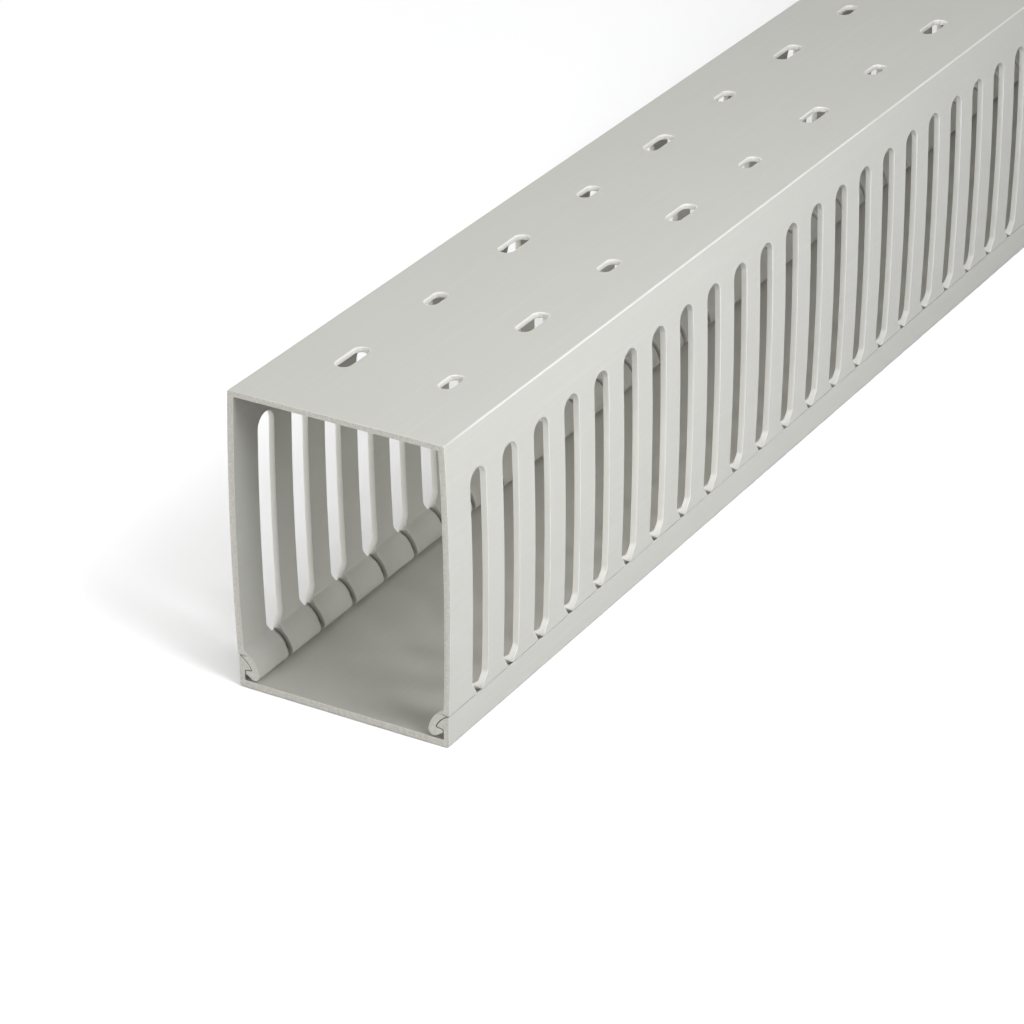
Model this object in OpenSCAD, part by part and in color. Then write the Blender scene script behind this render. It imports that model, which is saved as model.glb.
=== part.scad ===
// Slotted wire duct with a snap-fit cover, lying on its cover with the mounting base uppermost.
// X runs along the duct, Y across it and Z up from the underside of the cover.

/* [Duct] */
// Cut length of the duct and of its cover
duct_len = 1000; // [300:10:2000]
// Width across the corners of the base
duct_w = 75; // [60:1:120]
// Height over the base and the closed cover
duct_h = 101; // [80:1:120]
// Thickness of the base
base_t = 1.9; // [1.6:0.1:3]
// Thickness of the side walls
wall_t = 2.2; // [1.8:0.1:2.4]
// Outward bow of each side wall at mid height
wall_bow = 1.2; // [0.6:0.1:2]
// Radius of the outer corners of the base
base_corner_r = 0.6; // [0.3:0.1:1]

/* [Wire slots] */
// Distance from the near end to the centre of the first slot
slot_first = 17.5; // [12:0.5:30]
// Spacing of the slots along the duct
slot_pitch = 18.35; // [15:0.05:25]
// Width of a slot between two fingers
slot_w = 8.8; // [6:0.1:10]
// Width of the slit between two finger tips
slit_w = 2.4; // [1.5:0.1:3]
// Solid wall left between the outer face of the base and a slot
slot_margin = 14.4; // [10:0.1:25]
// Height over which a slot narrows to the slit, above the seam
funnel_h = 5.4; // [4:0.1:8]
// Radius of the shoulder where a slot starts to narrow
shoulder_r = 3; // [1.5:0.1:3]

/* [Finger hooks] */
// Reach of the hook in from the outer face of the finger
hook_reach = 7.3; // [6.5:0.1:8]
// Outer radius of the curl that leads into the hook
curl_r = 10.2; // [9.5:0.1:11]
// Radius of the nose at the bottom of the hook
nose_r = 1.9; // [1.6:0.1:2]
// Slope in degrees of the line on which the curl meets the nose
nose_angle = 10; // [6:1:14]
// Gap between the hook and the cover below it
hook_lift = 0.65; // [0.4:0.05:1]
// Thickness of the lip at the tip of the hook
lip_t = 1; // [0.7:0.1:1.2]

/* [Cover] */
// Thickness of the cover plate
cover_t = 2.4; // [1.8:0.1:3]
// Thickness of the two legs of the cover
leg_t = 1.9; // [1.5:0.1:2.2]
// Radius of the outer corners of the cover
cover_corner_r = 1; // [0.5:0.1:1.4]
// Slope in degrees of the underside of the barb
barb_angle = 8.5; // [5:0.5:12]
// Clearance between the cover and the fingers
snap_gap = 0.3; // [0.25:0.05:0.4]

/* [Mounting slots] */
// Distance from the near end to the centre of the first mounting slot
mount_first = 37.2; // [20:0.1:60]
// Spacing of the mounting slots along each row
mount_pitch = 47.8; // [30:0.1:80]
// Distance between the two rows
mount_row_gap = 34.5; // [25:0.5:45]
// End-to-end length of a large mounting slot
large_len = 15; // [10:0.5:18]
// Width of a large mounting slot
large_w = 5.2; // [4:0.1:7]
// End-to-end length of a small mounting slot
small_len = 10; // [7:0.5:12]
// Width of a small mounting slot
small_w = 4.6; // [3:0.1:6]

/* [Hidden] */
$fn = 64;
bow_fn = 720;
past = 1;
// Round stretches cross by this much where they blend, so that they never just touch
blend = 0.01;
duct_grey = [0.79, 0.79, 0.76];

// Nose of the hook, measured inward from the outer face of the cover's leg
nose_u = hook_reach - nose_r;
nose_z = cover_t + hook_lift + nose_r;

// Centre of the curl, outside the finger, and the pocket that the curl and the lip enclose
curl_u = nose_u - (curl_r - nose_r + blend) * cos(nose_angle);
curl_z = nose_z - (curl_r - nose_r + blend) * sin(nose_angle);
pocket_r = curl_r - wall_t;
seam_z = curl_z + sqrt(pocket_r * pocket_r - curl_u * curl_u);

// Lip of the hook, which ends one clearance short of the cover's leg
lip_u = leg_t + snap_gap;
lip_low_z = nose_z - 0.1 * nose_r;
lip_mid_z = lip_low_z + lip_t / 2;
lip_dist = norm([nose_u - lip_u, nose_z - lip_low_z]);
lip_slope = atan2(nose_z - lip_low_z, nose_u - lip_u) - asin((nose_r - blend) / lip_dist);
lip_len = sqrt(pow(lip_dist, 2) - pow(nose_r - blend, 2));

// Barb of the cover, one clearance inside the pocket
barb_z = lip_top_z(leg_t) + snap_gap / cos(barb_angle);
barb_r = pocket_r - snap_gap;

// Circle of the bowed side wall, through the top corner and a point level with the nose
bow_top_z = duct_h - base_corner_r;
bow_half = (bow_top_z - nose_z) / 2;
bow_r = (bow_half * bow_half + wall_bow * wall_bow) / (2 * wall_bow);
bow_z = nose_z + bow_half;
bow_u = bow_r - wall_bow;

// Wire slots
slot_r = slot_w / 2;
slot_top_z = duct_h - slot_margin;
funnel_z = seam_z + funnel_h;
slot_count = floor((duct_len - 2 * slot_first) / slot_pitch) + 1;
slots_x = [for (i = [0 : slot_count - 1]) slot_first + i * slot_pitch - duct_len / 2];

// Mounting slots, large and small in turn along each row
mount_count = floor((duct_len - mount_first - large_len) / mount_pitch) + 1;

// Height of the lip's upper surface, which slopes up into the pocket
function lip_top_z(u) = lip_low_z + lip_t + (u - lip_u) * tan(barb_angle);

// A square corner to cut away, leaving the radius r
module corner_cut(r) {
    difference() {
        translate([-past, -past]) square(r + past);
        translate([r, r]) circle(r);
    }
}

// Repeats a shape drawn inward from the outer face at both sides of the duct
module both_sides() {
    translate([-duct_w / 2, 0]) children();
    translate([duct_w / 2, 0]) mirror([1, 0]) children();
}

// Turns a section drawn across the duct into a length of it
module along_duct() {
    rotate([90, 0, 90]) translate([0, 0, -duct_len / 2]) linear_extrude(duct_len) children();
}

// Section of the bowed side wall, down into the curl
module wall_section() {
    low_z = seam_z - wall_t / 2;
    intersection() {
        difference() {
            translate([bow_u, bow_z]) circle(bow_r, $fn = bow_fn);
            translate([bow_u, bow_z]) circle(bow_r - wall_t, $fn = bow_fn);
        }
        translate([-2 * wall_bow, low_z]) square([4 * wall_bow + wall_t, bow_top_z - low_z]);
    }
}

// Section of the curl, still without its pocket
module curl_blank() {
    far = 2 * curl_r;
    intersection() {
        translate([curl_u, curl_z]) circle(curl_r);
        polygon([
            [0, lip_mid_z], [nose_u, nose_z],
            [nose_u + far, nose_z + far * tan(nose_angle)],
            [nose_u + far, nose_z + far], [0, nose_z + far],
        ]);
    }
}

// Section of the nose and of the lip that turns back towards the leg
module lip_blank() {
    translate([nose_u, nose_z]) circle(nose_r);
    polygon([
        [lip_u - past, lip_low_z - past * tan(lip_slope)],
        [lip_u + lip_len * cos(lip_slope), lip_low_z + lip_len * sin(lip_slope)],
        [nose_u, nose_z],
        [lip_u - past, nose_z + nose_r],
    ]);
}

// Section of the space behind the hook, which takes the leg and its barb
module pocket_section() {
    far = 2 * curl_r;
    intersection() {
        translate([curl_u, curl_z]) circle(pocket_r);
        polygon([
            [lip_u, 0], [lip_u, lip_top_z(lip_u)], [far, lip_top_z(far)],
            [far, nose_z + far], [-far, nose_z + far], [-far, 0],
        ]);
    }
}

// Section of one side wall with the hook at its free edge
module finger_section() {
    difference() {
        union() {
            wall_section();
            curl_blank();
            lip_blank();
        }
        pocket_section();
    }
}

// Section of the base with its rounded outer corners
module base_section() {
    difference() {
        translate([-duct_w / 2, duct_h - base_t]) square([duct_w, base_t]);
        both_sides() translate([0, duct_h]) mirror([0, 1]) corner_cut(base_corner_r);
    }
}

// Outline of one wire slot seen from the side, with the slit that parts the finger tips
module slot_outline() {
    shoulder_u = slot_r - shoulder_r;
    inset = shoulder_u - slit_w / 2;
    drop = norm([inset, funnel_h]);
    lean = atan2(inset, funnel_h) + asin((shoulder_r - blend) / drop);
    run = sqrt(pow(drop, 2) - pow(shoulder_r - blend, 2));
    foot_x = slit_w / 2 + run * sin(lean);
    foot_z = seam_z + run * cos(lean);
    translate([0, slot_top_z - slot_r]) circle(slot_r);
    translate([-slot_r, funnel_z]) square([slot_w, slot_top_z - slot_r - funnel_z]);
    for (side = [-1, 1]) translate([side * shoulder_u, funnel_z]) circle(shoulder_r);
    polygon([
        [-slit_w / 2, seam_z], [slit_w / 2, seam_z],
        [foot_x, foot_z], [shoulder_u, funnel_z],
        [-shoulder_u, funnel_z], [-foot_x, foot_z],
    ]);
    translate([-slit_w / 2, 0]) square([slit_w, funnel_z]);
}

// One slot through both side walls
module wire_slot() {
    width = duct_w + 4 * wall_bow;
    rotate([90, 0, 0]) translate([0, 0, -width / 2]) linear_extrude(width) slot_outline();
}

// An obround hole through the base, with its long axis along the duct
module mounting_slot(len, width) {
    depth = base_t + 2 * past;
    translate([0, 0, duct_h - base_t - past]) {
        for (side = [-1, 1]) translate([side * (len - width) / 2, 0, 0]) cylinder(depth, d = width);
        translate([-(len - width) / 2, -width / 2, 0]) cube([len - width, width, depth]);
    }
}

// Both rows of mounting slots, large and small in turn and out of step with each other
module mounting_slots() {
    for (i = [0 : mount_count - 1], row = [0, 1]) {
        large = (i + row) % 2 == 0;
        translate([
            mount_first + i * mount_pitch - duct_len / 2,
            (0.5 - row) * mount_row_gap, 0,
        ]) mounting_slot(large ? large_len : small_len, large ? large_w : small_w);
    }
}

// The base and the two walls of slotted, hooked fingers, in one extrusion
module slotted_channel() {
    color(duct_grey) difference() {
        along_duct() {
            base_section();
            both_sides() finger_section();
        }
        for (x = slots_x) translate([x, 0, 0]) wire_slot();
        mounting_slots();
    }
}

// Section of a leg of the cover and of the barb that snaps behind the hook
module leg_section() {
    intersection() {
        translate([curl_u, curl_z]) circle(barb_r);
        polygon([
            [0, 0], [leg_t, 0], [leg_t, barb_z],
            [hook_reach, barb_z + (hook_reach - leg_t) * tan(barb_angle)],
            [hook_reach, duct_h], [0, duct_h],
        ]);
    }
}

// The plate with its two barbed legs, in one extrusion
module snap_cover() {
    color(duct_grey) along_duct() difference() {
        union() {
            translate([-duct_w / 2, 0]) square([duct_w, cover_t]);
            both_sides() leg_section();
        }
        both_sides() corner_cut(cover_corner_r);
    }
}

slotted_channel();
snap_cover();
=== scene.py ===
import math
import random

import bmesh
import bpy
from mathutils import Euler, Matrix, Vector
from mathutils.geometry import delaunay_2d_cdt


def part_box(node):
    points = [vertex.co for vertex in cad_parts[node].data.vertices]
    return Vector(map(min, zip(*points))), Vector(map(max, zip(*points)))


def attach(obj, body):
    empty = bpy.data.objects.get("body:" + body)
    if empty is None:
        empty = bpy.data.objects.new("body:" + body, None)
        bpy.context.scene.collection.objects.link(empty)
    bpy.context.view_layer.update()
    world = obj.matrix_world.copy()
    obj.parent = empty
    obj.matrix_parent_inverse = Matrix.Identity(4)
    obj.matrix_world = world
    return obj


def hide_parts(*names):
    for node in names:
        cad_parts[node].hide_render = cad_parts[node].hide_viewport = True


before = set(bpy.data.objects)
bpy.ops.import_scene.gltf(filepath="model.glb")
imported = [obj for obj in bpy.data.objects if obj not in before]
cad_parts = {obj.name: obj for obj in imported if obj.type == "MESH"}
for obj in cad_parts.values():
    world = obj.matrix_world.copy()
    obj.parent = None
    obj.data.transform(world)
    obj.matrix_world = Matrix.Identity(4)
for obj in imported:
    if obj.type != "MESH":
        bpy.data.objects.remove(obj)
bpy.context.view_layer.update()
channelLow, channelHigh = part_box("slotted_channel")
coverLow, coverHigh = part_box("snap_cover")
mm = 0.001
ductLength = (channelHigh.x - channelLow.x) / mm
ductWidth = (coverHigh.y - coverLow.y) / mm
ductHeight = channelHigh.z / mm
nearEnd, farEnd = channelLow.x / mm, channelHigh.x / mm

# Everything below is drawn in the section across the duct: u runs inward from the outer
# face of the cover's leg and z upward, in millimetres. A side is -1 or 1 along Y.
# A rail is a list of points u, z, each with the direction that leads out of the plastic.


def onSide(x, side, u, z):
    return Vector((x, side * (ductWidth / 2 - u), z)) * mm


def heading(start, end):
    return math.degrees(math.atan2(end[1] - start[1], end[0] - start[0]))


def clamped(value):
    return min(max(value, 0), 1)


def circlesMeet(first, firstRadius, second, secondRadius):
    # the higher of the two points where the circles cross
    du, dz = second[0] - first[0], second[1] - first[1]
    gap = math.hypot(du, dz)
    along = (gap * gap + firstRadius ** 2 - secondRadius ** 2) / (2 * gap)
    across = math.sqrt(firstRadius ** 2 - along ** 2)
    points = [(first[0] + (along * du - turn * across * dz) / gap,
               first[1] + (along * dz + turn * across * du) / gap) for turn in (-1, 1)]
    return max(points, key=lambda point: point[1])


def arcRail(centre, radius, start, end, steps, out=1):
    # an arc between two angles; out is 1 round solid plastic and -1 round a hollow
    rail = []
    for i in range(steps + 1):
        turn = math.radians(start + (end - start) * i / steps)
        cu, cz = math.cos(turn), math.sin(turn)
        rail.append((centre[0] + radius * cu, centre[1] + radius * cz, out * cu, out * cz))
    return rail


def lineRail(start, end, steps):
    # points strictly between two rail points, with the direction of the first
    return [(start[0] + (end[0] - start[0]) * i / (steps + 1),
             start[1] + (end[1] - start[1]) * i / (steps + 1), start[2], start[3])
            for i in range(1, steps + 1)]


channel = {
    "base": 1.9,
    "wall": 2.2,
    "bow": 1.2,  # how far the wall bulges out halfway up
    "cornerRound": 0.6,
    "cornerWearAndHighlight": 0.6,  # how pale that corner is painted, partly worn, partly a painted highlight, from 0 to 1
    "innerFillet": 0.6,
    "cornerSteps": 5,
    "curl": 10.2,  # outer radius of the hook's curl
    "nose": 1.9,
    "noseTurn": 10,
    "reach": 7.3,  # how far in the hook comes
    "coverPlate": 2.4,
    "hookLift": 0.65,  # room between the hook and the cover's plate
    "lip": 1.0,
    "lipDrop": 0.1,  # how far the lip's underside lies below the middle, as a share of the nose
    "legAndGap": 2.2,  # where the lip starts, clear of the cover's leg
    "barbTurn": 8.5,
    "seamRound": 0.26,
    "rootFillet": 0.9,
    "pocketFillet": 0.45,
    "tipRound": 0.25,
    "sawnRim": 0.14,  # softened edge at a sawn end
    "outerRim": 0.34,  # softened edge of a punched slot, outside
    "innerRim": 0.2,  # and inside
    "fingerLean": 0.09,  # how far a finger's tip may stand off true
    "outerLevels": (90, 94, 98),  # heights of the rows above the slots
    "innerLevels": (90, 93, 96),
    "netSpacing": 9.0,  # between the points inside the base's two faces
    "netRows": 3,  # of them, on either side of the middle
    "endColumns": 4,  # points across a sawn end of the base, on either side of the middle
    "endSpacing": 0.1,  # between them, as a share of the width
}

# points along each stretch of the hook; both sides have to come to the same number
hookSteps = {
    "seam": 2,
    "pocket": 9,
    "fillet": 3,
    "lipTop": 8,
    "tip": 2,
    "root": 3,
    "curl": 8,
    "nose": 11,
    "lipLow": 1,
}

slots = {
    "first": 17.5,  # from the sawn end to the middle of the first slot
    "pitch": 18.35,
    "width": 8.8,
    "slit": 2.4,  # the gap between two hooks
    "margin": 14.4,  # unbroken wall above the slots
    "funnel": 5.4,  # height in which a slot narrows to the slit
    "shoulder": 3.0,
    "archSteps": 8,
    "straightSteps": 7,
    "shoulderSteps": 3,
}

noseAt = (channel["reach"] - channel["nose"],
          channel["coverPlate"] + channel["hookLift"] + channel["nose"])
noseTurn = math.radians(channel["noseTurn"])
curlGap = channel["curl"] - channel["nose"]
curlAt = (noseAt[0] - curlGap * math.cos(noseTurn), noseAt[1] - curlGap * math.sin(noseTurn))
pocket = channel["curl"] - channel["wall"]
seamZ = curlAt[1] + math.sqrt(pocket ** 2 - curlAt[0] ** 2)
bowTop = ductHeight - channel["cornerRound"]
bowHalf = (bowTop - noseAt[1]) / 2
bowRadius = (bowHalf ** 2 + channel["bow"] ** 2) / (2 * channel["bow"])
bowAt = (bowRadius - channel["bow"], noseAt[1] + bowHalf)
lipStart = channel["legAndGap"]
lipLow = noseAt[1] - channel["lipDrop"] * channel["nose"]
barbTurn = math.radians(channel["barbTurn"])
lipReach = math.hypot(noseAt[0] - lipStart, noseAt[1] - lipLow)
lipTurn = math.atan2(noseAt[1] - lipLow, noseAt[0] - lipStart) - math.asin(channel["nose"] / lipReach)

slotRadius = slots["width"] / 2
archZ = ductHeight - slots["margin"] - slotRadius
funnelZ = seamZ + slots["funnel"]
shoulderAt = slotRadius - slots["shoulder"]
slitHalf = slots["slit"] / 2
funnelInset = shoulderAt - slitHalf
funnelDrop = math.hypot(funnelInset, slots["funnel"])
funnelTurn = math.atan2(funnelInset, slots["funnel"]) + math.asin(slots["shoulder"] / funnelDrop)
funnelRun = math.sqrt(funnelDrop ** 2 - slots["shoulder"] ** 2)
footZ = seamZ + funnelRun * math.cos(funnelTurn)
countSlack = 1e-6  # keeps a slot that just fits from being lost to rounding
slotCount = int((ductLength - 2 * slots["first"]) / slots["pitch"] + countSlack) + 1
slotX = [nearEnd + slots["first"] + i * slots["pitch"] for i in range(slotCount)]


def wallAt(z, depth):
    # the bowed wall's outer face, or a surface that far below it
    return bowAt[0] - math.sqrt((bowRadius - depth) ** 2 - (z - bowAt[1]) ** 2)


def wallRail(z, inner):
    # one rail point on the wall's outer or inner face
    out = 1 if inner else -1
    depth = channel["wall"] if inner else 0
    turn = math.asin((bowAt[1] - z) / (bowRadius - depth))
    return (wallAt(z, depth), z, out * math.cos(turn), out * math.sin(turn))


def lipTop(u):
    return lipLow + channel["lip"] + (u - lipStart) * math.tan(barbTurn)


slideTries = 40
slideEase = 0.9  # how much of the remaining gap each try closes


def slideToArc(radius, heightAt):
    # slides in along a sloping line until it meets an arc round the curl's centre
    reach = 0.0
    for _ in range(slideTries):
        reach += (radius - math.hypot(reach - curlAt[0], heightAt(reach) - curlAt[1])) * slideEase
    return reach


def slotHalf(z):
    # half the slot's width at a height below its straight part
    if z <= seamZ:
        return slitHalf
    if z < footZ:
        return slitHalf + (z - seamZ) * math.tan(funnelTurn)
    return shoulderAt + math.sqrt(max(slots["shoulder"] ** 2 - (z - funnelZ) ** 2, 0))


def wallRows():
    # the slot's edge from the top of its arch to the foot of its shoulder, as x and z
    steps = slots["straightSteps"]
    rows = arcRail((0, archZ), slotRadius, 90, 0, slots["archSteps"])
    rows += [(slotRadius, archZ + (funnelZ - archZ) * i / steps, 1.0, 0.0) for i in range(1, steps)]
    rows += arcRail((shoulderAt, funnelZ), slots["shoulder"], 0, -math.degrees(funnelTurn),
                    slots["shoulderSteps"])
    return rows


def hookRows():
    # pairs of points down the outside and the inside of the hook
    curl, nose = channel["curl"], channel["nose"]
    seamRound, rootFillet = channel["seamRound"], channel["rootFillet"]
    pocketFillet, tipRound = channel["pocketFillet"], channel["tipRound"]

    seamAt = circlesMeet(bowAt, bowRadius - seamRound, curlAt, pocket + seamRound)
    seamArc = arcRail(seamAt, seamRound, heading(bowAt, seamAt) % 360,
                      heading(seamAt, curlAt) % 360, hookSteps["seam"])
    rootAt = circlesMeet(bowAt, bowRadius - channel["wall"] - rootFillet, curlAt, curl + rootFillet)
    rootArc = arcRail(rootAt, rootFillet, heading(bowAt, rootAt) % 360,
                      heading(rootAt, curlAt) % 360, hookSteps["root"], out=-1)

    lift = pocketFillet / math.cos(barbTurn)
    reach = slideToArc(pocket - pocketFillet, lambda u: lipTop(u) + lift)
    filletAt = (reach, lipTop(reach) + lift)
    filletArc = arcRail(filletAt, pocketFillet, heading(curlAt, filletAt),
                        channel["barbTurn"] - 90, hookSteps["fillet"], out=-1)
    tipU = lipStart + tipRound
    topAt = (tipU, lipTop(tipU) - tipRound / math.cos(barbTurn))
    topArc = arcRail(topAt, tipRound, channel["barbTurn"] + 90, 180, hookSteps["tip"])
    lowAt = (tipU, lipLow + tipRound * math.tan(lipTurn) + tipRound / math.cos(lipTurn))
    lowArc = arcRail(lowAt, tipRound, math.degrees(lipTurn) + 270, 180, hookSteps["tip"])
    pocketArc = arcRail(curlAt, pocket, heading(curlAt, seamAt), heading(curlAt, filletAt),
                        hookSteps["pocket"], out=-1)
    curlArc = arcRail(curlAt, curl, heading(curlAt, rootAt), channel["noseTurn"], hookSteps["curl"])
    noseArc = arcRail(noseAt, nose, channel["noseTurn"], math.degrees(lipTurn) - 90, hookSteps["nose"])

    # the wall between the slot's foot and the seam, or the hook's root, comes first
    outer = [wallRail(footZ + (seamArc[0][1] - footZ) * share, False) for share in (0.3, 0.6)]
    outer += seamArc + pocketArc[1:-1] + filletArc
    outer += lineRail(filletArc[-1], topArc[0], hookSteps["lipTop"]) + topArc
    inner = [wallRail(footZ + (rootArc[0][1] - footZ) / 2, True)]
    inner += rootArc + curlArc[1:] + noseArc[1:]
    inner += lineRail(noseArc[-1], lowArc[0], hookSteps["lipLow"]) + lowArc
    return list(zip(outer, inner, strict=True))


# the three points that round over an edge: how far along the face, and how far below it
roundedEdge = ((0.0, 1.0), (0.293, 0.293), (1.0, 0.0))
# how far each of these points is cut, and how far it is on an edge, which is painted paler: partly wear,
# partly a painted highlight
cutLevels = ((1.0, 0.0), (0.6, 1.0), (0.0, 0.0))
outerCutLevels = ((1.0, 0.3), (0.7, 1.0), (0.0, 0.0))
innerCutLevels = ((0.8, 0.0), (0.6, 0.9), (0.0, 0.0))


def cutPoints(row, cutX, turn, sawn, lean):
    # the three outer and three inner points that round over one cut edge of a finger
    kind, rail = row
    faces = ([], [])
    for inner, points in enumerate(faces):
        slotRim = channel["innerRim"] if inner or kind == "hook" else channel["outerRim"]
        rim = channel["sawnRim"] if sawn else slotRim
        for offset, depth in roundedEdge:
            if kind == "hook":
                u, z, outU, outZ = rail[inner]
                u, z = u - outU * rim * depth, z - outZ * rim * depth
                x = cutX + turn * (rim * offset + (0 if sawn else slotHalf(z)))
            elif sawn:
                u, z, outU, outZ = wallRail(rail[1] + rail[3] * slotRim, inner)
                u, z = u - outU * rim * depth, z - outZ * rim * depth
                x = cutX + turn * rim * offset
            else:
                gapX, gapZ, outX, outZ = rail
                z = gapZ + outZ * rim * offset
                x = cutX + turn * (gapX + outX * rim * offset)
                u = wallAt(z, channel["wall"] - depth * rim if inner else depth * rim)
            fall = max(archZ - z, 0) / archZ
            points.append((x, u + lean * fall * fall, z))
    return faces


pointMarks = ("punched", "sawn", "edge", "groove")  # what the plastic's shader reads at each point; the last paints shade into the seam and the slits, and the edge mark is partly wear, partly a painted highlight
weldDistance = 1e-6
netTolerance = 1e-4
sharpAngle = 50


class Shell:
    # gathers the points and faces of one piece, and how far each point is cut or on an edge
    def __init__(self):
        self.mesh = bmesh.new()
        self.layers = {name: self.mesh.verts.layers.float.new(name) for name in pointMarks}

    def point(self, place, **amounts):
        vert = self.mesh.verts.new(place)
        for name, amount in amounts.items():
            vert[self.layers[name]] = amount
        return vert

    def face(self, *verts):
        return self.mesh.faces.new(list(dict.fromkeys(verts)))

    def strip(self, first, second):
        for corners in zip(first, first[1:], second[1:], second):
            self.face(*corners)

    def join(self, before, after):
        # two pairs of rows, outer and inner, and the cut faces at both their ends
        self.strip(before[0], after[0])
        self.strip(before[1], after[1])
        for k in (0, -1):
            self.face(before[0][k], before[1][k], after[1][k], after[0][k])

    def fill(self, outline, rings, height):
        # a flat face around holes, on points that the neighbouring faces already use
        verts, edges, ringOf = [], [], []
        for number, loop in enumerate([outline, *rings]):
            start = len(verts)
            verts += loop
            edges += [(start + i, start + (i + 1) % len(loop)) for i in range(len(loop))]
            ringOf += [number] * len(loop)
        spacing, netRows = channel["netSpacing"], channel["netRows"]
        columns = int(ductLength / spacing)
        for i in range(1, columns):
            for j in range(-netRows, netRows + 1):
                x, y = nearEnd + i * ductLength / columns, j * spacing
                if all(math.hypot(x - hole["x"], y - hole["y"]) > hole["clear"] for hole in holeList):
                    verts.append(self.point(Vector((x, y, height)) * mm))
                    ringOf.append(0)
        flat = [vert.co.xy / mm for vert in verts]
        _, _, faces, sources, _, _ = delaunay_2d_cdt(flat, edges, [], 1, netTolerance)
        for face in faces:
            corners = [sources[k][0] for k in face]
            first = ringOf[corners[0]]
            if not first or any(ringOf[k] != first for k in corners):  # else the face lies in a hole
                self.face(*(verts[k] for k in corners))

    def finish(self, name, material, body, node):
        bmesh.ops.remove_doubles(self.mesh, verts=self.mesh.verts, dist=weldDistance)
        bmesh.ops.recalc_face_normals(self.mesh, faces=self.mesh.faces)
        openEdges = [edge for edge in self.mesh.edges if len(edge.link_faces) != 2]
        print(name, "faces:", len(self.mesh.faces), "edges not shared by two:", len(openEdges))
        data = bpy.data.meshes.new(name)
        self.mesh.to_mesh(data)
        self.mesh.free()
        data.shade_smooth()
        data.set_sharp_from_angle(angle=math.radians(sharpAngle))
        data.materials.append(material)
        piece = bpy.data.objects.new(name, data)
        bpy.context.collection.objects.link(piece)
        even = piece.modifiers.new("even shading", "WEIGHTED_NORMAL")
        even.keep_sharp = True
        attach(piece, body)
        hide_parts(node)


def addCut(shell, side, points, sawn, levels=cutLevels, gap=0.0, seam=0.0):
    # painted shade: a gap darkens the cut face alone, and a seam the skin beside it too
    kind = "sawn" if sawn else "punched"
    dark = (seam if sawn else max(gap, seam), seam, seam)
    return [shell.point(onSide(x, side, u, z), **{kind: cut, "edge": edge, "groove": groove})
            for (x, u, z), (cut, edge), groove in zip(points, levels, dark)]


# painted shade: the dark line where the cover meets the fingers, and the dark slits between the hooks
seamLine = {
    "reach": 0.5,  # how far up and down from the seam a finger's row is still shaded
    "fade": 0.1,
    "slitShade": 0.95,
    "slitFrom": 0.2,
    "coverReach": 0.3,
    "coverFade": 0.15,
}


def addFinger(shell, side, i, rows):
    # finger i lies between slot i - 1 and slot i, and the outermost end at a sawn end
    lean = random.uniform(-1, 1) * channel["fingerLean"]
    left = (slotX[i - 1], 1, False) if i else (nearEnd, 1, True)
    right = (slotX[i], -1, False) if i < slotCount else (farEnd, -1, True)
    before = None
    for row in rows:
        # painted shade along the seam and on the cut faces down in the slits
        seam = gap = 0.0
        if row[0] == "hook":
            u, z = row[1][0][:2]
            if abs(z - seamZ) < seamLine["reach"]:
                seam = clamped(u / seamLine["fade"])
            if z < seamZ - seamLine["slitFrom"]:
                gap = seamLine["slitShade"]
        cuts = [(cutPoints(row, *end, lean), end[2]) for end in (left, right)]
        outer = [addCut(shell, side, faces[0], sawn, outerCutLevels, gap, seam) for faces, sawn in cuts]
        inner = [addCut(shell, side, faces[1], sawn, innerCutLevels) for faces, sawn in cuts]
        after = (outer[0] + outer[1][::-1], inner[0] + inner[1][::-1])
        if before:
            shell.join(before, after)
        before = after
    shell.strip(*before)  # closes the tip of the lip


def addBand(shell, side, outerRail, innerRail):
    # the unbroken wall above the slots, up to the edge of the base
    rim = channel["sawnRim"]
    before = None
    for pair in zip(outerRail, innerRail, strict=True):
        after = []
        for (u, z, outU, outZ), outside in zip(pair, (1, 0)):
            # the outer corner painted paler: partly wear, partly a painted highlight
            wearAndHighlight = channel["cornerWearAndHighlight"] * outside if bowTop < z < ductHeight else 0
            ends = [[(cutX + turn * rim * offset, u - outU * rim * depth, z - outZ * rim * depth)
                     for offset, depth in roundedEdge]
                    for cutX, turn in ((nearEnd, 1), (farEnd, -1))]
            middle = [shell.point(onSide(x, side, u, z), edge=wearAndHighlight) for x in slotX]
            near, far = (addCut(shell, side, points, True) for points in ends)
            after.append(near + middle + far[::-1])
        if before:
            shell.join(before, after)
        before = after
    return before


mounting = {
    "first": 37.2,  # from the sawn end to the middle of the first hole
    "pitch": 47.8,
    "rowGap": 34.5,
    "large": (15.0, 5.2),  # length and width
    "small": (10.0, 4.6),
    "outerRim": 0.4,
    "innerRim": 0.2,
    "arcSteps": 12,
    "clear": 0.75,  # room left around a hole, as a share of its length
}
holeCount = int((ductLength - mounting["first"] - mounting["large"][0]) / mounting["pitch"]) + 1
holeList = []
for i in range(holeCount):
    for row in (0, 1):
        long, wide = mounting["large"] if (i + row) % 2 == 0 else mounting["small"]
        holeList.append({
            "x": nearEnd + mounting["first"] + i * mounting["pitch"],
            "y": (0.5 - row) * mounting["rowGap"],
            "long": long,
            "wide": wide,
            "clear": long * mounting["clear"],
        })


def holeRing(shell, hole, grow, height, cut, edge):
    # one loop round a slotted hole, a little larger where it is rounded over
    ring = []
    steps = mounting["arcSteps"]
    straight = (hole["long"] - hole["wide"]) / 2
    radius = hole["wide"] / 2 + grow
    for end in (1, -1):
        for k in range(steps + 1):
            turn = math.radians(-90 * end + 180 * k / steps)
            place = Vector((hole["x"] + end * straight + radius * math.cos(turn),
                            hole["y"] + radius * math.sin(turn), height)) * mm
            ring.append(shell.point(place, punched=cut, edge=edge))
    return ring


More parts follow.
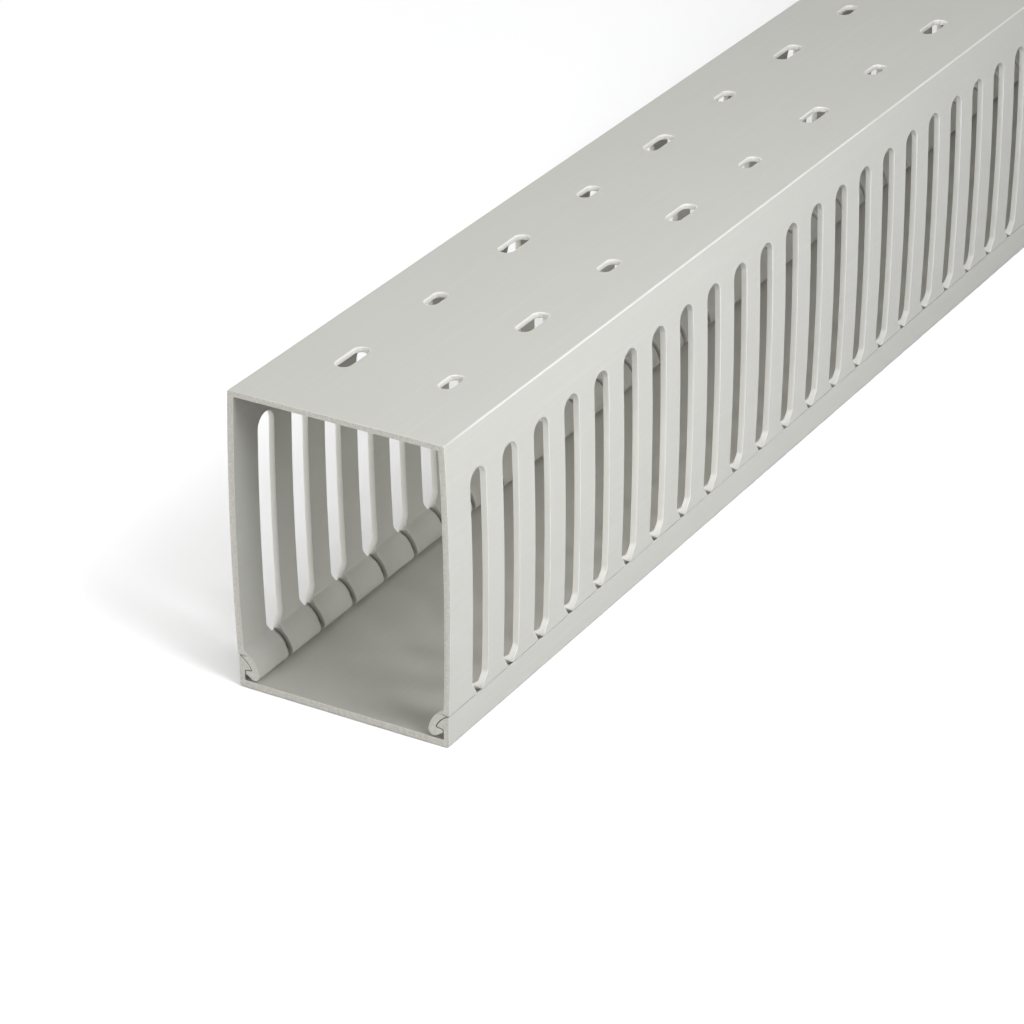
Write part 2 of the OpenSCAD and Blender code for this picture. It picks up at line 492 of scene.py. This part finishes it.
def addHole(shell, hole):
    # rings down through the base; the first and last lie in its two faces
    levels = list(zip(roundedEdge, cutLevels))
    rings = []
    for (offset, depth), (cut, edge) in levels[::-1]:
        rim = mounting["outerRim"]
        rings.append(holeRing(shell, hole, offset * rim, ductHeight - depth * rim, cut, edge))
    for (offset, depth), (cut, edge) in levels:
        rim = mounting["innerRim"]
        height = ductHeight - channel["base"] + depth * rim
        rings.append(holeRing(shell, hole, offset * rim, height, cut, edge))
    for above, below in zip(rings, rings[1:]):
        shell.strip(above + above[:1], below + below[:1])
    return rings[0], rings[-1]


def addBaseEnd(shell, bands, cutX, turn):
    # the sawn end of the base, from one side of the duct to the other
    rim = channel["sawnRim"]
    picks = slice(0, 3) if turn > 0 else slice(-1, -4, -1)
    first, last = (band[0][picks][::-1] + band[1][picks] for band in bands)
    columns = []
    reach = channel["endColumns"]
    for k in range(-reach, reach + 1):
        y = ductWidth * k * channel["endSpacing"]
        column = []
        for z, fall in ((ductHeight, -1), (ductHeight - channel["base"], 1)):
            made = [shell.point(Vector((cutX + turn * rim * offset, y, z + fall * rim * depth)) * mm,
                                sawn=cut, edge=edge)
                    for (offset, depth), (cut, edge) in zip(roundedEdge, cutLevels)]
            column += made[::-1] if fall < 0 else made
        columns.append(column)
    whole = [first, *columns, last]
    for one, other in zip(whole, whole[1:]):
        shell.strip(one, other)
    return columns


def buildChannel(material):
    shell = Shell()
    rows = [("wall", row) for row in wallRows()] + [("hook", pair) for pair in hookRows()]
    archTop = archZ + slotRadius
    corner, fillet = channel["cornerRound"], channel["innerFillet"]
    filletZ = ductHeight - channel["base"] - fillet
    filletAt = (wallAt(filletZ, channel["wall"] + fillet), filletZ)
    outerRail = [wallRail(z, False) for z in (archTop + channel["outerRim"], *channel["outerLevels"])]
    outerRail += arcRail((corner, bowTop), corner, 180, 90, channel["cornerSteps"])
    innerRail = [wallRail(z, True) for z in (archTop + channel["innerRim"], *channel["innerLevels"])]
    innerRail += arcRail(filletAt, fillet, heading(bowAt, filletAt) % 360, 90,
                         channel["cornerSteps"], out=-1)
    bands = []
    for side in (-1, 1):
        for i in range(slotCount + 1):
            addFinger(shell, side, i, rows)
        bands.append(addBand(shell, side, outerRail, innerRail))
    print("channel: fingers and walls made", len(shell.mesh.verts))

    farColumns = addBaseEnd(shell, bands, farEnd, -1)
    nearColumns = addBaseEnd(shell, bands, nearEnd, 1)
    loops = []
    for level, pick in ((0, 0), (1, -1)):
        loop = bands[0][level][2:-2] + [column[pick] for column in farColumns]
        loop += bands[1][level][2:-2][::-1] + [column[pick] for column in nearColumns[::-1]]
        loops.append(loop)
    topRings, lowRings = zip(*(addHole(shell, hole) for hole in holeList))
    shell.fill(loops[0], topRings, ductHeight)
    shell.fill(loops[1], lowRings, ductHeight - channel["base"])
    print("channel: base and its holes made", len(shell.mesh.verts))
    shell.finish("wireDuctChannel", material, "channel", "slotted_channel")


cover = {
    "plate": channel["coverPlate"],
    "leg": 1.9,
    "snapGap": 0.3,
    "cornerRound": 1.0,
    "legRound": 0.2,
    "barbRound": 0.35,
    "barbFillet": 0.3,
    "rootFillet": 0.5,
    "roundSteps": 4,
    "barbSteps": 8,
    "rim": 0.14,  # softened edge at a sawn end
    "columns": 24,
    "plateSteps": 4,  # points on the plate, 10 mm apart from its middle
    "plateSpacing": 10,
}


def roundOff(corners, steps):
    # corners are u, z and a radius; each gets an arc that touches both of its sides
    outline = []
    for i, (u, z, radius) in enumerate(corners):
        here = Vector((u, z))
        if not radius:
            outline.append(here)
            continue
        before = (Vector(corners[i - 1][:2]) - here).normalized()
        after = (Vector(corners[(i + 1) % len(corners)][:2]) - here).normalized()
        half = before.angle(after) / 2
        middle = here + (before + after).normalized() * radius / math.sin(half)
        start = here + before * radius / math.tan(half) - middle
        end = here + after * radius / math.tan(half) - middle
        sweep = start.angle_signed(end)
        for k in range(steps + 1):
            turn = -sweep * k / steps
            outline.append(middle + Vector((start.x * math.cos(turn) - start.y * math.sin(turn),
                                            start.x * math.sin(turn) + start.y * math.cos(turn))))
    return outline


def coverOutline():
    # the cover's section, all the way round, as y and z
    leg, plate = cover["leg"], cover["plate"]
    barb = pocket - cover["snapGap"]
    legTop = curlAt[1] + math.sqrt(barb ** 2 - curlAt[0] ** 2)
    barbLow = lipTop(leg) + cover["snapGap"] / math.cos(barbTurn)

    def underside(u):
        return barbLow + (u - leg) * math.tan(barbTurn)

    reach = slideToArc(barb, underside)
    tip = (reach, underside(reach))
    arc = arcRail(curlAt, barb, heading(curlAt, (0, legTop)), heading(curlAt, tip),
                  cover["barbSteps"])[1:-1]
    spots = [ductWidth / 2 - cover["plateSpacing"] * k for k in range(cover["plateSteps"])]
    corners = [(u, 0, 0) for u in spots]
    corners += [(0, 0, cover["cornerRound"]), (0, legTop, cover["legRound"])]
    corners += [(u, z, 0) for u, z, _, _ in arc]
    corners += [(*tip, cover["barbRound"]), (leg, barbLow, cover["barbFillet"])]
    corners += [(leg, plate, cover["rootFillet"])]
    corners += [(u, plate, 0) for u in spots[::-1]]
    half = [(u - ductWidth / 2, z) for u, z in roundOff(corners, cover["roundSteps"])]
    return half + [(-y, z) for y, z in half[-2:0:-1]]


def drawnIn(outline, depth):
    # the outline moved into the plastic by a depth
    moved = []
    for i, (y, z) in enumerate(outline):
        here = Vector((y, z))
        one = (here - Vector(outline[i - 1])).normalized()
        other = (Vector(outline[(i + 1) % len(outline)]) - here).normalized()
        along = (one + other).normalized()
        spread = max(along.dot(one), 0.5)  # a sharp corner isn't moved too far
        moved.append((y + along.y * depth / spread, z - along.x * depth / spread))
    return moved


def buildCover(material):
    shell = Shell()
    outline = coverOutline()
    rim, columns = cover["rim"], cover["columns"]
    stations = [(nearEnd + rim * offset, depth, level)
                for (offset, depth), level in zip(roundedEdge, cutLevels)]
    stations += [(nearEnd + ductLength * k / columns, 0, (0, 0)) for k in range(1, columns)]
    stations += [(nearEnd + farEnd - x, depth, level) for x, depth, level in stations[2::-1]]
    # painted shade on the cover where it comes near the seam
    seam = [clamped((z - seamZ + seamLine["coverReach"]) / seamLine["coverFade"]) for _, z in outline]
    rings = []
    for x, depth, (cut, edge) in stations:
        rings.append([shell.point(Vector((x, y, z)) * mm, sawn=cut, edge=edge, groove=dark)
                      for (y, z), dark in zip(drawnIn(outline, depth * rim), seam)])
    for one, other in zip(rings, rings[1:]):
        shell.strip(one + one[:1], other + other[:1])
    shell.face(*rings[0])
    shell.face(*rings[-1])
    shell.finish("wireDuctCover", material, "cover", "snap_cover")


class Wire:
    # a node's socket that can stand in sums
    def __init__(self, graph, socket):
        self.graph = graph
        self.socket = socket

    def maths(self, operation, *terms):
        return self.graph.node("ShaderNodeMath", {"operation": operation}, dict(enumerate(terms)))

    def atLeast(self, least):
        return self.maths("MAXIMUM", self, least)

    def __abs__(self):
        return self.maths("ABSOLUTE", self)

    def __add__(self, other):
        return self.maths("ADD", self, other)

    def __radd__(self, other):
        return self.maths("ADD", other, self)

    def __sub__(self, other):
        return self.maths("SUBTRACT", self, other)

    def __rsub__(self, other):
        return self.maths("SUBTRACT", other, self)

    def __mul__(self, other):
        return self.maths("MULTIPLY", self, other)

    def __rmul__(self, other):
        return self.maths("MULTIPLY", other, self)

    def __pow__(self, other):
        return self.maths("POWER", self, other)

    def __rpow__(self, other):
        return self.maths("POWER", other, self)


class Graph:
    # makes the nodes of one material or of the world
    def __init__(self, owner):
        owner.use_nodes = True
        self.tree = owner.node_tree
        self.tree.nodes.clear()

    def node(self, kind, settings=None, values=None, output=0):
        made = self.tree.nodes.new(kind)
        for name, value in (settings or {}).items():
            if name == "stops":
                ramp = made.color_ramp
                while len(ramp.elements) < len(value):
                    ramp.elements.new(0.5)
                for element, (place, shade) in zip(ramp.elements, value):
                    element.position = place
                    element.color = (shade, shade, shade, 1)
            else:
                setattr(made, name, value)
        for name, value in (values or {}).items():
            if isinstance(value, Wire):
                self.tree.links.new(value.socket, made.inputs[name])
            else:
                made.inputs[name].default_value = value
        return Wire(self, made.outputs[output]) if made.outputs else None

    def noise(self, place, scale, detail, roughness):
        return self.node("ShaderNodeTexNoise", None, {
            "Vector": place, "Scale": scale, "Detail": detail, "Roughness": roughness})

    def ramp(self, value, *stops):
        return self.node("ShaderNodeValToRGB", {"stops": stops}, {"Fac": value})

    def blend(self, amount, first, second):
        # for colours: sockets 6 and 7 and output 2 are a Mix node's colours
        return self.node("ShaderNodeMix", {"data_type": "RGBA"}, {0: amount, 6: first, 7: second}, 2)

    def seenDirectly(self):
        # 1 where the camera looks, or a reflection or a clear piece shows the place
        camera, glossy, clear = (self.node("ShaderNodeLightPath", output=name)
                                 for name in ("Is Camera Ray", "Is Glossy Ray", "Is Transmission Ray"))
        return camera + glossy + clear


def linear(red, green, blue):
    # a colour as it is seen on a screen, 0 to 255, turned into light
    made = []
    for part in (red, green, blue):
        share = part / 255
        made.append(share / 12.92 if share <= 0.04045 else ((share + 0.055) / 1.055) ** 2.4)
    return (*made, 1.0)


plastic = {
    "skin": linear(207, 206, 198),
    "coverSkin": linear(205, 204, 196),
    "cut": linear(240, 239, 232),  # where slots and holes are punched
    "sawn": linear(246, 242, 231),
    # near white: pale die lines, and edges that are partly worn and partly carry a painted highlight
    "edge": linear(250, 249, 244),
    "shade": linear(193, 192, 184),
    # painted shade: the dark grey laid into the seam between cover and fingers and into the slits between
    # the hooks
    "groove": linear(104, 101, 94),
    "drawnOut": (0.012, 1.0, 1.0),  # how the die lines are stretched along the duct
    "dieLines": (900, 3, 0.6),  # each pattern's scale, detail and roughness
    "wideLines": (110, 2, 0.5),
    "mottle": (26, 4, 0.6),
    "grain": (2600, 2, 0.7),
    "coarse": (900, 3, 0.65),
    "shadeShare": 0.12,
    "lineShare": 0.06,
    "cutShare": 0.3,
    "sawnShare": 0.75,
    "wearAndHighlightShare": 0.8,
    "paintedShadeShare": 0.85,
    "rough": 0.5,
    "bumpStrength": 0.35,
    "bumpDepth": 0.00004,
    "refraction": 1.52,
    "shine": 0.4,
}


def plasticMaterial(name, skin, offset):
    # extruded rigid PVC: fine die lines along the duct, paler where it is punched or sawn
    material = bpy.data.materials.new(name)
    graph = Graph(material)
    place = graph.node("ShaderNodeTexCoord", output="Object")
    place = graph.node("ShaderNodeVectorMath", {"operation": "ADD"}, {0: place, 1: (offset, offset, 0)})
    alongDuct = graph.node("ShaderNodeVectorMath", {"operation": "MULTIPLY"},
                           {0: place, 1: plastic["drawnOut"]})
    punched, sawn, edge, groove = (graph.node("ShaderNodeAttribute", {"attribute_name": mark}, output="Fac")
                                   for mark in pointMarks)
    dieLines, wideLines = (graph.noise(alongDuct, *plastic[name]) for name in ("dieLines", "wideLines"))
    mottle, grain, coarse = (graph.noise(place, *plastic[name]) for name in ("mottle", "grain", "coarse"))

    shadeBy = graph.ramp(mottle * 0.55 + wideLines * 0.45, (0.3, 0.0), (0.72, 1.0))
    lineBy = graph.ramp(dieLines, (0.5, 0.0), (0.75, 1.0))
    cutBy = graph.ramp(coarse, (0.35, 0.0), (0.65, 1.0))
    sawnBy = graph.ramp(grain * 0.5 + coarse * 0.5, (0.38, 0.0), (0.62, 1.0))
    # edges paler in patches: partly wear and punch whitening, partly a painted highlight
    wearAndHighlight = edge * graph.ramp(mottle, (0.2, 0.45), (0.7, 1.0))

    cutTone = graph.blend(cutBy * plastic["cutShare"], plastic["cut"], plastic["sawn"])
    sawnTone = graph.blend(sawnBy * plastic["sawnShare"], plastic["skin"], plastic["sawn"])
    colour = graph.blend(shadeBy * plastic["shadeShare"], skin, plastic["shade"])
    colour = graph.blend(lineBy * plastic["lineShare"], colour, plastic["edge"])
    colour = graph.blend(punched, colour, cutTone)
    colour = graph.blend(sawn, colour, sawnTone)
    # partly wear, partly a painted highlight along the edges
    colour = graph.blend(wearAndHighlight * plastic["wearAndHighlightShare"], colour, plastic["edge"])
    # painted shade: darkens the colour along the seam and down in the slits
    colour = graph.blend(groove * plastic["paintedShadeShare"], colour, plastic["groove"])

    rough = plastic["rough"] + mottle * 0.08 + dieLines * 0.06 + punched * 0.16 + sawn * 0.26
    height = dieLines * 0.14 + grain * (0.12 + sawn * 1.3 + punched * 0.5)
    height = height + coarse * (sawn * 1.2 + punched * 0.4)
    bump = graph.node("ShaderNodeBump", None, {
        "Strength": plastic["bumpStrength"], "Distance": plastic["bumpDepth"], "Height": height})
    shader = graph.node("ShaderNodeBsdfPrincipled", None, {
        "Base Color": colour, "Roughness": rough, "Normal": bump,
        "IOR": plastic["refraction"], "Specular IOR Level": plastic["shine"]})
    graph.node("ShaderNodeOutputMaterial", None, {"Surface": shader})
    return material


random.seed(7)
channelPlastic = plasticMaterial("greyPvcChannel", plastic["skin"], 0.0)
coverPlastic = plasticMaterial("greyPvcCover", plastic["coverSkin"], 3.7)
buildChannel(channelPlastic)
buildCover(coverPlastic)

studio = {
    "cameraAt": (-1.3572, -0.5695, 0.6144),
    "cameraTurn": (62.07, 0.43, -59.5),
    "lens": 139,
    "sensor": 36,
    "seenFrom": 0.05,
    "seenTo": 50,
    "white": (1, 1, 1, 1),
    "worldLight": 0.01,
    "floorHalf": 6,
    "floorDrop": 0.0002,  # keeps the floor just clear of the cover
    "floorBounce": 0.14,  # how much of the light the floor gives back
    "floorSeen": 0.9,  # and how much of it the camera is shown
    "fadeFrom": 0.1,  # distances from the duct between which the floor turns white
    "fadeTo": 0.32,
}

lamps = {
    "keyLamp": {"at": (-0.5, -0.42, 0.48), "size": 0.34, "power": 2.25, "tint": (0.95, 0.965, 1)},
    "sideLamp": {"at": (-0.45, -0.8, 0.2), "size": 0.4, "power": 3.1, "tint": (0.95, 0.965, 1)},
    "topLamp": {"at": (-0.1, 0, 2.2), "size": 1.8, "power": 16},
    "endLamp": {"at": (-2.2, 0.5, 0.35), "size": 0.8, "power": 18, "aim": (-0.5, 0, 0.05)},
    "backLamp": {"at": (0.6, 1.6, 0.28), "size": 1.2, "power": 20},
    "floorLamp": {"at": (-0.75, -0.5, 1.2), "size": 1.8, "power": 19, "lights": "floor"},
}


def floorMaterial():
    # the shadow shows near the duct, and further out the floor fades into the white
    material = bpy.data.materials.new("studioFloor")
    graph = Graph(material)
    seen = graph.seenDirectly()
    place = graph.node("ShaderNodeTexCoord", output="Object")
    away = []
    for axis, reach in (("X", ductLength * mm / 2), ("Y", ductWidth * mm / 2)):
        across = graph.node("ShaderNodeSeparateXYZ", None, {0: place}, axis)
        away.append((abs(across) - reach).atLeast(0.0))
    distance = (away[0] * away[0] + away[1] * away[1]) ** 0.5
    fade = graph.node("ShaderNodeMapRange", {"interpolation_type": "SMOOTHSTEP"}, {
        "Value": distance, "From Min": studio["fadeFrom"], "From Max": studio["fadeTo"]})
    tone = studio["floorBounce"] + seen * (studio["floorSeen"] - studio["floorBounce"])
    matt = graph.node("ShaderNodeBsdfDiffuse", None, {"Color": tone})
    glow = graph.node("ShaderNodeEmission", None, {"Color": studio["white"], "Strength": 1.0})
    whole = graph.node("ShaderNodeMixShader", None, {0: fade * seen, 1: matt, 2: glow})
    graph.node("ShaderNodeOutputMaterial", None, {"Surface": whole})
    return material


def buildFloor():
    half = studio["floorHalf"]
    corners = [(-half, -half, 0), (half, -half, 0), (half, half, 0), (-half, half, 0)]
    data = bpy.data.meshes.new("studioFloor")
    data.from_pydata(corners, [], [(0, 1, 2, 3)])
    data.materials.append(floorMaterial())
    floor = bpy.data.objects.new("studioFloor", data)
    floor.location.z = coverLow.z - studio["floorDrop"]
    bpy.context.collection.objects.link(floor)
    return floor


def buildWorld():
    # plain white where it is seen, and hardly any light on the duct
    world = bpy.data.worlds.new("studioWorld")
    bpy.context.scene.world = world
    graph = Graph(world)
    strength = studio["worldLight"] + graph.seenDirectly() * (1 - studio["worldLight"])
    sky = graph.node("ShaderNodeBackground", None, {"Color": studio["white"], "Strength": strength})
    graph.node("ShaderNodeOutputWorld", None, {"Surface": sky})


def addLamp(name, lamp, floorOnly):
    light = bpy.data.lights.new(name, "AREA")
    light.shape = "SQUARE"
    light.size = lamp["size"]
    light.energy = lamp["power"]
    light.color = lamp.get("tint", (1, 1, 1))
    holder = bpy.data.objects.new(name, light)
    holder.location = lamp["at"]
    aim = Vector(lamp.get("aim", (-0.25, 0, 0.05)))
    holder.rotation_euler = (aim - Vector(lamp["at"])).to_track_quat("-Z", "Y").to_euler()
    bpy.context.collection.objects.link(holder)
    if lamp.get("lights") == "floor":
        holder.light_linking.receiver_collection = floorOnly


def addCamera():
    data = bpy.data.cameras.new("studioCamera")
    data.lens = studio["lens"]
    data.sensor_width = studio["sensor"]
    data.clip_start = studio["seenFrom"]
    data.clip_end = studio["seenTo"]
    camera = bpy.data.objects.new("studioCamera", data)
    camera.location = studio["cameraAt"]
    camera.rotation_euler = Euler([math.radians(turn) for turn in studio["cameraTurn"]], "XYZ")
    bpy.context.collection.objects.link(camera)
    bpy.context.scene.camera = camera


floorOnly = bpy.data.collections.new("floorOnly")
floorOnly.objects.link(buildFloor())
buildWorld()
for name, lamp in lamps.items():
    addLamp(name, lamp, floorOnly)
addCamera()
bpy.context.scene.view_settings.view_transform = "Standard"
print("studio made")
